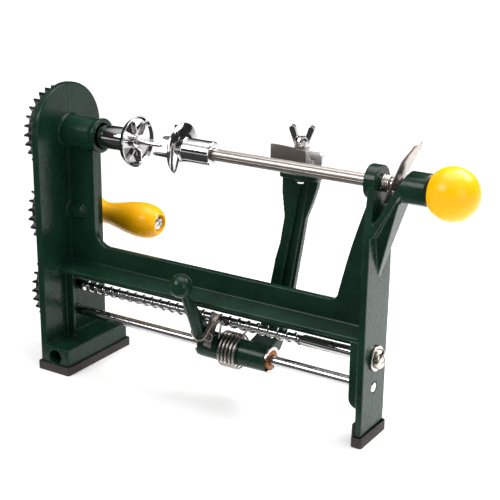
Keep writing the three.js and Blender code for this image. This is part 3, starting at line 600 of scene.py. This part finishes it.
def drive_chuck():
    """A shallow dish with six radial fins round a centre pin."""
    profile = [(59, 4.3), (59, 10), (60.4, 17), (63.7, 18.6), (64.3, 18.7), (64.6, 18.4), (64.4, 17.9),
               (62.2, 16.6), (61.5, 14), (61.2, 4.3)]
    dish = lathe("chuck_dish", profile, SPINDLE, 96, ring=True)
    fins = []
    for i in range(6):
        corners = ((60.6, 4.6), (60.6, 16.6), (64.2, 15.8), (65.3, 7))
        fin = hull("fin", [(x, y, AXIS_Z + r) for x, r in corners for y in (-0.55, 0.55)])
        fins.append(turned_about(fin, 60 * i + 15, SPINDLE))
    combine("UNION", dish, fins)
    soften(dish, 0.15, 35, 2)
    finish(dish, CHROME, "crank", "drive_chuck", slot="chrome")
    pin = lathe("centre_pin", [(63.5, 2.5), (65.4, 2.5), (66.4, 2.0), (67, 1.55), (83.3, 1.45), (85.2, 0.9),
                               (86.4, 0.15)], SPINDLE, 32)
    finish(pin, CHROME, "crank", "chuck_pin", slot="chrome")


spindle()
drive_chuck()


# ---------------------------------------------------------------- crank and grip
def crank():
    rim = [(r * math.cos(a) + y, r * math.sin(a) + z) for y, z, r in ((*SPINDLE, 11), (*CRANK_PIN, 9))
           for a in [math.radians(7.5 * i) for i in range(48)]]
    arm = hull("crank_bar", [(x, y, z) for y, z in rim for x in (-23.3, -18.3)])
    combine("DIFFERENCE", arm, [rod("bore", -30, 0, 5.1, SPINDLE), rod("bore", -30, 0, 3.5, CRANK_PIN)])
    soften(arm, 0.7, 40, 3)
    finish(arm, NICKEL, "crank", "crank_arm", slot="steel")
    grip = lathe("grip_handle", [
        (-17.6, 3.7), (-17.6, 9.4), (-17.2, 10.1), (-16.4, 10.6), (-15, 11), (-13.4, 10.6), (-11, 9.6),
        (-7, 8.7), (-3, 8.6), (2, 9.2), (8, 10.4), (15, 12), (21, 13.1), (27, 13.8), (32, 14), (37, 13.6),
        (41, 12.6), (44.4, 11), (46.6, 9), (47.6, 7.4), (47.4, 6.8), (46.6, 6.5), (43.9, 6.4), (43.9, 3.7)],
        CRANK_PIN, ring=True)
    finish(grip, YELLOW, "grip", "crank_grip", slot="yellow_plastic")


def cross_slots(thing, face_x, depth, length, centre):
    """Cuts a Phillips recess into a screw head that faces +X."""
    cutters = []
    for turn in (20, 110):
        bar = hull("slot", [(x, y, centre[1] + z) for x in (face_x - depth, face_x + 2)
                            for y in (-0.55, 0.55) for z in (-length, length)])
        bar.data.transform(Matrix.Translation(Vector((0, centre[0], 0)) * MM))
        cutters.append(turned_about(bar, turn, centre))
    return combine("DIFFERENCE", thing, cutters)


def pan_head(name, profile, centre, slot_x, depth, length, body, *nodes):
    """A turned screw with a Phillips recess."""
    screw = lathe(name, profile, centre, 64)
    cross_slots(screw, slot_x, depth, length, centre)
    soften(screw, 0.12, 35, 2)
    finish(screw, NICKEL, body, *nodes, slot="steel")


def hex_nut(name, x0, x1, flats, bore, centre, body, node):
    """A nut with corners chamfered by a cone."""
    corner = flats / math.sqrt(3)
    nut = lathe(name, [(x0, corner), (x1, corner)], centre, 6)
    cone = lathe("cone", [(x0 - 1, corner * 0.8), (x0 + 1.2, corner * 1.02), (x1 - 1.2, corner * 1.02),
                          (x1 + 1, corner * 0.8)], centre, 48)
    combine("INTERSECT", nut, [cone])
    combine("DIFFERENCE", nut, [rod("bore", x0 - 5, x1 + 5, bore, centre)])
    soften(nut, 0.15, 35, 2)
    finish(nut, NICKEL, body, node, slot="steel")


crank()
pan_head("grip_axle", [(-23.3, 3), (-23, 3.2), (44.1, 3.2), (44.1, 5.9), (44.7, 6), (45.8, 5.6),
                       (46.6, 4.4), (47.1, 2.4), (47.2, 0.3)], CRANK_PIN, 47.1, 2, 3.6, "crank", "grip_screw")
hex_nut("spindle_nut", -29.6, -23.6, 13, 4.1, SPINDLE, "crank", "crank_nut")
hex_nut("feed_nut", -20.6, -16.4, 10, 3.3, SCREW, "feed_screw", "lead_screw_nut")


# ---------------------------------------------------------------- lead screw
def lead_screw():
    """A narrow square thread as one helical skin, between a plain journal and a plain shank."""
    x0, pitch, core, crest, around = 9.6, 7.75, 3.1, 4.25, 40
    section = [(0, core), (0.12, core + 0.2), (0.3, crest - 0.12), (0.55, crest), (2.0, crest),
               (2.25, crest - 0.12), (2.45, core + 0.2), (2.6, core)]
    rows, wide = int((199 / pitch - 1) * around), len(section)
    points, faces = [], []
    for i in range(rows + around + 1):
        turn = 2 * math.pi * i / around
        for along, r in section:
            x = x0 + pitch * i / around + along
            points.append((x, r * math.cos(turn), SCREW[1] + r * math.sin(turn)))
    for i in range(rows):
        for k in range(wide - 1):
            a = wide * i + k
            faces.append((a, a + wide, a + wide + 1, a + 1))
        a, b = wide * i + wide - 1, wide * (i + around)
        faces.append((a, a + wide, b + wide, b))
    left, right = len(points), len(points) + 1
    points += [(x0 - 1, 0, SCREW[1]), (x0 + pitch * (rows + around) / around + 1, 0, SCREW[1])]
    for first, tip in ((0, left), (rows, right)):
        loop = [wide * (first + i) for i in range(around + 1)]
        loop += [wide * first + k for k in range(wide - 1, 0, -1)]
        faces += [(loop[i], loop[(i + 1) % len(loop)], tip) for i in range(len(loop))]
    screw = new_mesh("feed_screw_rod", points, faces)
    journal = lathe("journal", [(-22, 2.7), (-21.7, 3), (-16.3, 3), (-16.3, 4), (10.4, 4), (10.6, 3.8)],
                    SCREW)
    shank = lathe("shank", [(200, 0.5), (205.5, crest), (259.5, crest), (259.8, 4.0), (259.8, 3.3),
                            (246, 3.3)], SCREW)
    combine("UNION", screw, [journal, shank])
    finish(screw, CHROME, "feed_screw", "lead_screw", slot="chrome", smooth=35)


lead_screw()
pan_head("feed_end_screw", [(248.2, 3), (262.4, 3), (262.4, 6.7), (262.7, 6.9), (264.4, 6.8), (265.6, 6.0),
                            (266.6, 4.2), (267.1, 2.2), (267.3, 0.3)], SCREW, 267.2, 2.4, 3.9, "feed_screw",
         "lead_screw_end_screw")


def ring(name, x0, x1, inner, outer, centre, material, slot, body, node, edge=0.25):
    """A plain bush or washer."""
    piece = lathe(name, [(x0, inner), (x0, outer), (x1, outer), (x1, inner)], centre, FINE, ring=True)
    soften(piece, edge, 40, 2)
    return finish(piece, material, body, node, slot=slot)


ring("feed_end_washer", 260.5, 262.1, 3.4, 8.9, SCREW, NICKEL, "steel", "feed_screw", "lead_screw_washer")
ring("feed_bush", -5.7, 2.2, 4.3, 5.9, SCREW, BLACK, "black_gear", "stand", "lead_screw_bush")
ring("spindle_sleeve", -5.7, 20, 6.3, 8, SPINDLE, BRONZE, "bronze", "stand", "spindle_bush")
ring("idler_clip", -17.3, -16.5, 2.5, 5, IDLER, NICKEL, "steel", "stand", "idler_ring", 0.12)


def plain_rods():
    guide = lathe("guide_bar", [(-5.7, 3.2), (-5.4, 3.7), (259.9, 3.7), (260.3, 3.3)], ROD)
    finish(guide, CHROME, "stand", "guide_rod", slot="chrome")
    stud = lathe("idler_pin", [(8.6, 2.8), (8.4, 3), (-16.2, 3), (-16.2, 2.2), (-17.5, 2.2), (-17.5, 2.8),
                               (-18, 2.5)], IDLER, 40)
    finish(stud, NICKEL, "stand", "idler_stud", slot="steel")


plain_rods()


# ---------------------------------------------------------------- carriage
def retaining_ring(name, x0, x1, open_side, node):
    """A C-shaped ring that leaves the bush showing through its gap."""
    band = lathe(name, [(x0, 7.3), (x0, 9.6), (x1, 9.6), (x1, 7.3)], ROD, FINE, ring=True)
    gap = hull("gap", [(x, y, ROD[1] + z) for x in (x0 - 1, x1 + 1) for y, z in open_side])
    combine("DIFFERENCE", band, [gap])
    soften(band, 0.2, 40, 2)
    finish(band, NICKEL, "carriage", node, slot="steel")


ring("slide_bush", 119.6, 179.8, 3.95, 7, ROD, BRONZE, "bronze", "carriage", "carriage_bush")
retaining_ring("clip_left", 119.6, 121, ((-12, -1), (-12, 4), (-5, 3), (-5, -2)), "bush_ring_left")
retaining_ring("clip_right", 178.4, 179.8, ((-13.2, 4.8), (-8, -11.5), (-5.6, 2), (-3.4, -4.9)),
               "bush_ring_right")


def torsion_spring():
    """Five open coils, a hooked leg round the release lever and a straight leg to the peeling arm."""
    x0, x1, r, turns, per_turn = 139.4, 155, 12.4, 5.1, 48
    start = math.radians(128)
    count = int(turns * per_turn)
    coil = []
    for i in range(count + 1):
        turn = start - 2 * math.pi * i / per_turn
        coil.append(Vector((x0 + (x1 - x0) * i / count, r * math.cos(turn), ROD[1] + r * math.sin(turn))))
    hook = curve_through([(120.6, -13.6, 54), (121.2, -15.2, 50.6), (124.4, -16.5, 48), (128.4, -16.9, 47.8),
                          (133, -16.9, 50.4), (138, -16.3, 60), (141.6, -14.8, 65.2), (144.4, -12.6, 62.6),
                          coil[0]])
    tail = curve_through([coil[-1], coil[-1] + Vector((3, -0.6, 4)), coil[-1] + Vector((5.4, 3, 9))], 8)
    spring = wire("carriage_spring", hook + coil[1:] + tail[1:], 0.8)
    finish(spring, SPRING_STEEL, "carriage", "torsion_spring", slot="steel", smooth=60)


torsion_spring()


def release_lever():
    """A sleeve on the bush with a tapering stem that ends in a ball."""
    bx, by, bz = 125, -33.5, 93.5
    hub = rod("lever_casting", 122, 146.9, 10, ROD, 72)
    stem = []
    for t, width, deep in ((0, 4.2, 7.5), (0.35, 3.8, 6), (0.7, 3.3, 4.2), (1, 3.1, 3.4)):
        y, z = -11 + (by + 3 + 11) * t, 48 + (bz - 6 - 48) * t
        loop = []
        for i in range(16):
            a = math.radians(22.5 * i)
            rise = deep * 0.35 * math.sin(a)
            back = rise + deep * 0.3 * (1 + math.sin(a))
            loop.append((125.2 + width * math.cos(a), y - 1.5 + back, z + rise))
        stem.append(loop)
    neck = [hull("stem", stem[i] + stem[i + 1]) for i in range(3)]
    fin = hull("fin", [(x, y, z) for x in (126.4, 130.6)
                       for y, z in ((-13, 47), (-4, 46), (-6, 55), (-26, 82), (-24, 76))])
    cheek = hull("cheek", [(x, y, z) for x in (122.4, 137.3)
                          for y, z in ((-12.2, 44), (-12.2, 52.5), (-8.5, 55.6), (-5.5, 46), (-6, 42))])
    combine("UNION", hub, [*neck, fin, cheek, sphere("ball", (bx, by, bz), 8.5)])
    combine("DIFFERENCE", hub, [rod("bore", 110, 150, 7.4, ROD), across("bore", *RIVET, -20, -4, 2.1)])
    cast_skin(hub, 0.42, 5)
    finish(hub, GREEN, "lever", "release_lever", slot="green_enamel", smooth=60)


def follower():
    """The bent steel strip that reaches up to the lead screw, and its rivet."""
    strip = prism("half_nut_strip", [(-12.6, 43), (-12.6, 54.6), (-6.2, 67), (-8.2, 68), (-14.6, 55),
                                     (-14.6, 43)], 132, 138.5, "x")
    tongue = prism("tongue", [(-10.6, 57), (-4.8, 58.4), (-4.8, 61.6), (-8.6, 63)], 134, 136.4, "x")
    combine("UNION", strip, [tongue])
    combine("DIFFERENCE", strip, [across("bore", *RIVET, -20, -8, 2)])
    rivet = Matrix.Translation(Vector((RIVET[0], 0, RIVET[1])) * MM)
    strip.data.transform(rivet @ Matrix.Rotation(math.radians(8), 4, "Y") @ rivet.inverted())
    soften(strip, 0.35, 35, 2)
    finish(strip, DARK_STEEL, "lever", "follower_strip", slot="steel")
    shank = across("half_nut_rivet", *RIVET, -15.4, -9.8, 1.7)
    head = across("head", *RIVET, -16.4, -14.9, 4.1)
    combine("UNION", shank, [soften(head, 0.5, 40, 3)])
    finish(shank, SPRING_STEEL, "lever", "follower_rivet", slot="steel")


release_lever()
follower()


# ---------------------------------------------------------------- peeling arm
def peeling_arm():
    """Hub, cranked root and a flat bar with two raised ribs that widens to the blade head's seat."""
    hub = lathe("arm_casting", [(147.2, 10), (178, 9.3)], ROD)
    bar = prism("bar", [(156, 60), (176, 60), (181, 92), (185, 117), (188, 137), (192.5, 149), (196, 160),
                        (197.5, 167), (169, 167), (169, 153), (171, 137), (167.7, 116.5), (164, 103.5),
                        (160.7, 86)], 28, 33)
    ribs = []
    for low, high in ((165, 184.3), (172.2, 189.2)):
        ribs.append(prism("rib", [(low, 62), (low + 2, 62), (high + 2, 167), (high, 167)], 25.6, 29))
    root = prism("root", [(3, 31), (19, 40), (33, 56), (33, 64), (28, 64), (27, 60), (15, 48), (4, 45.5)],
                 157, 176, "x")
    shelf = prism("shelf", rounded(168, 198, 22.6, 41.5, 4), 166.5, 170, "z")
    soften(shelf, 0.4, 40, 2)
    combine("UNION", hub, [bar, *ribs, root, shelf])
    combine("DIFFERENCE", hub, [
        rod("bore", 140, 190, 7.4, ROD),
        block("slot", 177.1, 185.9, 21, 36.4, 162.4, 166.5),
        upright("bore", *HEAD_BOLT, 160, 175, 2.9)])
    cast_skin(hub, 0.5, 4)
    finish(hub, GREEN, "arm", "peeling_arm", slot="green_enamel", smooth=60)
    bolt = prism("head_bolt_rod", arc(HEAD_BOLT, 4.1, 0, 300, 5), 163.2, 166.2, "z")
    combine("UNION", bolt, [upright("shank", *HEAD_BOLT, 166, 191.8, 2.5)])
    soften(bolt, 0.25, 40, 2)
    finish(bolt, NICKEL, "arm", "head_bolt", slot="steel")


# ---------------------------------------------------------------- blade head
def blade_head():
    """A gently curved steel strap, a floor with the bolt's post, the guard and the blade."""
    bends = [(159.6, 26.6, 0), (164.2, 27, 0), (171.7, 26.2, 0), (177.3, 25, 0), (185.2, 22.6, 0),
             (190.2, 21.2, 0)]
    front = [(p.x, p.y) for p in curve_through(bends, 8)]
    housing = prism("blade_band", front + [(x, y + 1.2) for x, y in reversed(front)], 170.4, 188, "z")
    base = prism("base", front + [(201.4, 21), (201.4, 41), (168, 41)], 170.4, 172, "z")
    combine("UNION", housing, [base, upright("post", *HEAD_BOLT, 171, 188, 5.4)])
    combine("DIFFERENCE", housing, [upright("hole", *HEAD_BOLT, 165, 190, 2.9)])
    soften(housing, 0.2, 40, 2)
    finish(housing, SATIN, "blade_head", "blade_housing", slot="satin_steel", smooth=20)
    outline = [(191.2, 172.3), (203.4, 172.3)] + arc((200.8, 185.4), 2.6, 0, 90, 8) + [(191.2, 188)]
    guard = prism("peel_guard", outline, 21, 24)
    combine("DIFFERENCE", guard, [across("pin_hole", 196.8, 181.8, 18, 30, 0.8, 16)])
    soften(guard, 0.25, 40, 2)
    finish(guard, PALE_STEEL, "blade_head", "guard_block", slot="satin_steel")
    blade = hull("peel_blade", [(x, y, z) for x in (190.5, 191) for y, z in
                                ((22.3, 172.6), (22.3, 186.6), (27, 172.3), (27, 185))]
                 + [(190.75, 21.8, 173), (190.75, 21.8, 186.2)])
    finish(blade, DARK_STEEL, "blade_head", "peeling_blade", slot="steel")


def wing_nut():
    """A cold-formed wing nut: a tapered hub with two thick rounded wings."""
    hub = prism("wing_nut_body", arc((0, 0), 5.3, 0, 350, 35), 188.3, 192.6, "z")
    top = hull("top", [(x, y, 192.5) for x, y in arc((0, 0), 5.3, 0, 350, 35)]
               + [(x, y, 195) for x, y in arc((0, 0), 4, 0, 350, 35)])
    wings = []
    for side in (-1, 1):
        rim = arc((side * 6.7, 200.7), 2.2, 0, 345, 23)
        foot = [(side * 2, 190.4), (side * 4.9, 189.4), (side * 2, 193)]
        wings.append(hull("wing", [(x, y, z) for x, z in rim + foot for y in (-2.3, 2.3)]))
    combine("UNION", hub, [top, *wings])
    combine("DIFFERENCE", hub, [upright("thread", 0, 0, 180, 210, 2.8)])
    cast_skin(hub, 0.28, 4)
    place = Matrix.Translation(Vector((*HEAD_BOLT, 0)) * MM)
    hub.data.transform(place @ Matrix.Rotation(math.radians(WING_TURN), 4, "Z"))
    finish(hub, CHROME, "wing", "wing_nut", slot="chrome", smooth=60)


peeling_arm()
blade_head()
wing_nut()


# ---------------------------------------------------------------- tail shaft, chuck and knob
def tail_shaft():
    """A fluted rod: eight shallow grooves run its whole length."""
    flutes, steps = 8, 160
    outline = []
    for i in range(steps):
        turn = 2 * math.pi * i / steps
        dip = max(0.0, math.cos(flutes * turn)) ** 5
        r = 4.2 - 0.8 * dip
        outline.append((r * math.cos(turn), SPINDLE[1] + r * math.sin(turn)))
    shaft = prism("tail_rod_bar", outline, 112.3, 304, "x")
    finish(shaft, SATIN, "tail_rod", "tail_shaft", slot="satin_steel", smooth=50)


def ball_knob():
    """A ball with a flat face where it screws against the shaft."""
    x, r, flat = 307.4, 17.5, 294
    start = math.degrees(math.acos((x - flat) / r))
    shell = [(x - r * math.cos(math.radians(a)), r * math.sin(math.radians(a)))
             for a in [start + (179.2 - start) * i / 40 for i in range(41)]]
    rim = shell[0][1]
    seat = [(304.6, 0.5), (304.6, 4.5), (flat + 0.3, 4.5), (flat, 4.9), (flat, rim - 0.7),
            (flat + 0.1, rim - 0.2)]
    knob = lathe("knob_ball", seat + shell[1:], SPINDLE, 96)
    finish(knob, YELLOW, "tail_rod", "ball_knob", slot="yellow_plastic")


def tail_chuck():
    """A domed dish on a sleeve with two rim prongs, and a two-tined fork at its centre."""
    profile = [(106.2, 0.5), (105.6, 8.6), (104.4, 15), (103.4, 17.5), (103.1, 18), (103, 18.4),
               (103.2, 18.8), (103.8, 18.75), (104.4, 18), (105.8, 15.4), (107, 11.2), (107.4, 9.6),
               (107.9, 8.9), (108.6, 8.75), (129.3, 8.75), (130, 8.1), (130, 4.7), (129.6, 4.4), (112, 4.4),
               (112, 0.5)]
    body = lathe("tail_dish", profile, SPINDLE, 96)
    corners = ((105.4, 12.4), (105.4, 16), (97, 13.4), (97, 16.8))
    prongs = [hull("prong", [(x, y, AXIS_Z + side * z) for x, z in corners for y in (-0.6, 0.6)])
              for side in (-1, 1)]
    combine("UNION", body, prongs)
    soften(body, 0.15, 35, 2)
    finish(body, CHROME, "tail_spinner", "tail_chuck", slot="chrome")
    base = lathe("core_fork", [(102.4, 8), (102.8, 8.4), (105, 8.4)], SPINDLE, 48)
    tines = []
    for side in (-1, 1):
        tines.append(hull("tine", [(x, side * 6 + y, AXIS_Z + side * 4.6 + z)
                                   for x, half in ((104, 1.8), (84, 1.2), (82, 0.2))
                                   for y in (-0.8, 0.8) for z in (-half, half)]))
    combine("UNION", base, tines)
    soften(base, 0.12, 35, 1)
    finish(base, CHROME, "tail_spinner", "chuck_fork", slot="chrome")


def lock_plate():
    """The jam plate is bent once and narrows to a thumb tab."""
    lean, tip_lean, thick = math.radians(21.6), math.radians(31), 1.5

    def climb(start, angle, length):
        return start[0] + length * math.sin(angle), start[1] + length * math.cos(angle)

    foot = (264.1, 170.6)
    bend = climb(foot, lean, 30.4)
    spine = [(foot, lean, 7.5), (climb(foot, lean, 6), lean, 9), (climb(foot, lean, 24), lean, 9),
             (bend, (lean + tip_lean) / 2, 8.9)]
    for along, half in ((3, 8.6), (6, 8.1), (9, 7.3), (11.5, 6.2), (13.3, 4.8), (14.3, 3.2)):
        spine.append((climb(bend, tip_lean, along), tip_lean, half))
    points, faces = [], []
    for (x, z), angle, half in spine:
        dx, dz = thick * math.cos(angle), -thick * math.sin(angle)
        points += [(x, -half, z), (x, half, z), (x + dx, half, z + dz), (x + dx, -half, z + dz)]
    for i in range(len(spine) - 1):
        faces += [(4 * i + k, 4 * i + (k + 1) % 4, 4 * i + 4 + (k + 1) % 4, 4 * i + 4 + k) for k in range(4)]
    last = 4 * len(spine)
    faces += [(0, 1, 2, 3), (last - 4, last - 3, last - 2, last - 1)]
    plate = new_mesh("jam_plate", points, faces)
    combine("DIFFERENCE", plate, [rod("hole", 250, 290, 5.1, SPINDLE)])
    soften(plate, 0.25, 40, 2)
    finish(plate, SATIN, "lock", "lock_plate", slot="satin_steel")
    x0, length, r, turns, per_turn = 260.1, 5.2, 5.35, 4, 40
    count = turns * per_turn
    path = []
    for i in range(count + 1):
        turn = 3.5 + 2 * math.pi * i / per_turn
        path.append((x0 + length * i / count, r * math.cos(turn), AXIS_Z + r * math.sin(turn)))
    finish(wire("jam_spring", path, 0.55), NICKEL, "lock", "lock_spring", slot="steel", smooth=60)


tail_shaft()
ball_knob()
tail_chuck()
lock_plate()


# ---------------------------------------------------------------- floor, light and camera
def level_sheet(name, x0, x1, y0, y1, z):
    return new_mesh(name, [(x0, y0, z), (x1, y0, z), (x1, y1, z), (x0, y1, z)], [(0, 1, 2, 3)])


def floor():
    """A pale floor that glows more with distance, so that it stays white to its far edge."""
    half = 4000
    sheet = level_sheet("floor", -half, half, -half, half, -0.1)
    surface = Surface("pale_floor", (0.86, 0.86, 0.86), 0, 0.6, emission_color=(1, 1, 1, 1))
    surface.shades(8, 2, (0.85, 0.85, 0.85), (0.87, 0.87, 0.87))
    away = surface.tree.nodes.new("ShaderNodeVectorMath")
    away.operation = "LENGTH"
    surface.tree.links.new(surface.place, away.inputs[0])
    glow = surface.spread(away.outputs["Value"], 0.4, 1.3, 0.22, 0.7)
    surface.tree.links.new(glow, surface.shader.inputs["Emission Strength"])
    sheet.data.materials.append(surface.material)


def dark_card():
    """A black card on the floor in front, which only mirrors see. It gives the chrome its dark band."""
    card = level_sheet("dark_card", -1500, 1500, -2500, -60, -0.05)
    surface = Surface("black_card", (0.02, 0.02, 0.02), 0, 0.9)
    surface.sheen_range(30, 2, 0.85, 0.95)
    card.data.materials.append(surface.material)
    card.visible_camera = card.visible_diffuse = card.visible_shadow = False


def aim(thing, place, target):
    thing.location = Vector(place) * MM
    thing.rotation_euler = (Vector(target) - Vector(place)).to_track_quat("-Z", "Y").to_euler()


def softbox(name, place, size, power, target=(150, 0, 110)):
    lamp = bpy.data.lights.new(name, "AREA")
    lamp.shape, lamp.size, lamp.size_y, lamp.energy = "RECTANGLE", size[0] * MM, size[1] * MM, power
    thing = bpy.data.objects.new(name, lamp)
    bpy.context.scene.collection.objects.link(thing)
    aim(thing, place, target)


def studio():
    """A pale room with a dark band above the horizon, so that polished metal has something to mirror."""
    world = bpy.data.worlds.new("studio")
    bpy.context.scene.world = world
    world.use_nodes = True
    tree = world.node_tree
    height = tree.nodes.new("ShaderNodeSeparateXYZ")
    tree.links.new(tree.nodes.new("ShaderNodeTexCoord").outputs["Generated"], height.inputs["Vector"])
    room = tree.nodes.new("ShaderNodeValToRGB")
    stops = room.color_ramp.elements
    stops[0].position, stops[0].color = 0.0, (0.9, 0.9, 0.9, 1)
    stops[1].position, stops[1].color = 1.0, (1, 1, 1, 1)
    for spot, shade in ((0.04, 0.7), (0.07, 0.03), (0.62, 0.04), (0.72, 0.7), (0.85, 1.0)):
        stops.new(spot).color = (shade, shade, shade, 1)
    tree.links.new(height.outputs["Z"], room.inputs["Fac"])
    tree.links.new(room.outputs["Color"], tree.nodes["Background"].inputs["Color"])
    tree.nodes["Background"].inputs["Strength"].default_value = 0.8
    softbox("key", (-350, -900, 900), (700, 500), 9)
    softbox("top", (150, 100, 1100), (900, 700), 7)
    softbox("fill", (1200, -500, 500), (500, 800), 3)
    softbox("glow", (400, 260, 450), (300, 300), 3, (400, 270, 0))
    bpy.context.scene.view_settings.view_transform = "Standard"


def camera():
    azimuth, elevation, roll = math.radians(31.98), math.radians(18.66), math.radians(0.71)
    forward = Vector((-math.sin(azimuth) * math.cos(elevation), math.cos(azimuth) * math.cos(elevation),
                      -math.sin(elevation)))
    side = Vector((math.cos(azimuth), math.sin(azimuth), 0))
    up = side.cross(forward)
    right = math.cos(roll) * side + math.sin(roll) * up
    above = math.cos(roll) * up - math.sin(roll) * side
    lens = bpy.data.cameras.new("camera")
    lens.sensor_width, lens.lens = 36, 84.417
    lens.clip_start, lens.clip_end = 0.01, 20
    thing = bpy.data.objects.new("camera", lens)
    thing.matrix_world = Matrix.Translation(Vector((570.35, -656.67, 378.86)) * MM) @ Matrix(
        (right, above, -forward)).transposed().to_4x4()
    bpy.context.scene.collection.objects.link(thing)
    bpy.context.scene.camera = thing


floor()
dark_card()
studio()
camera()
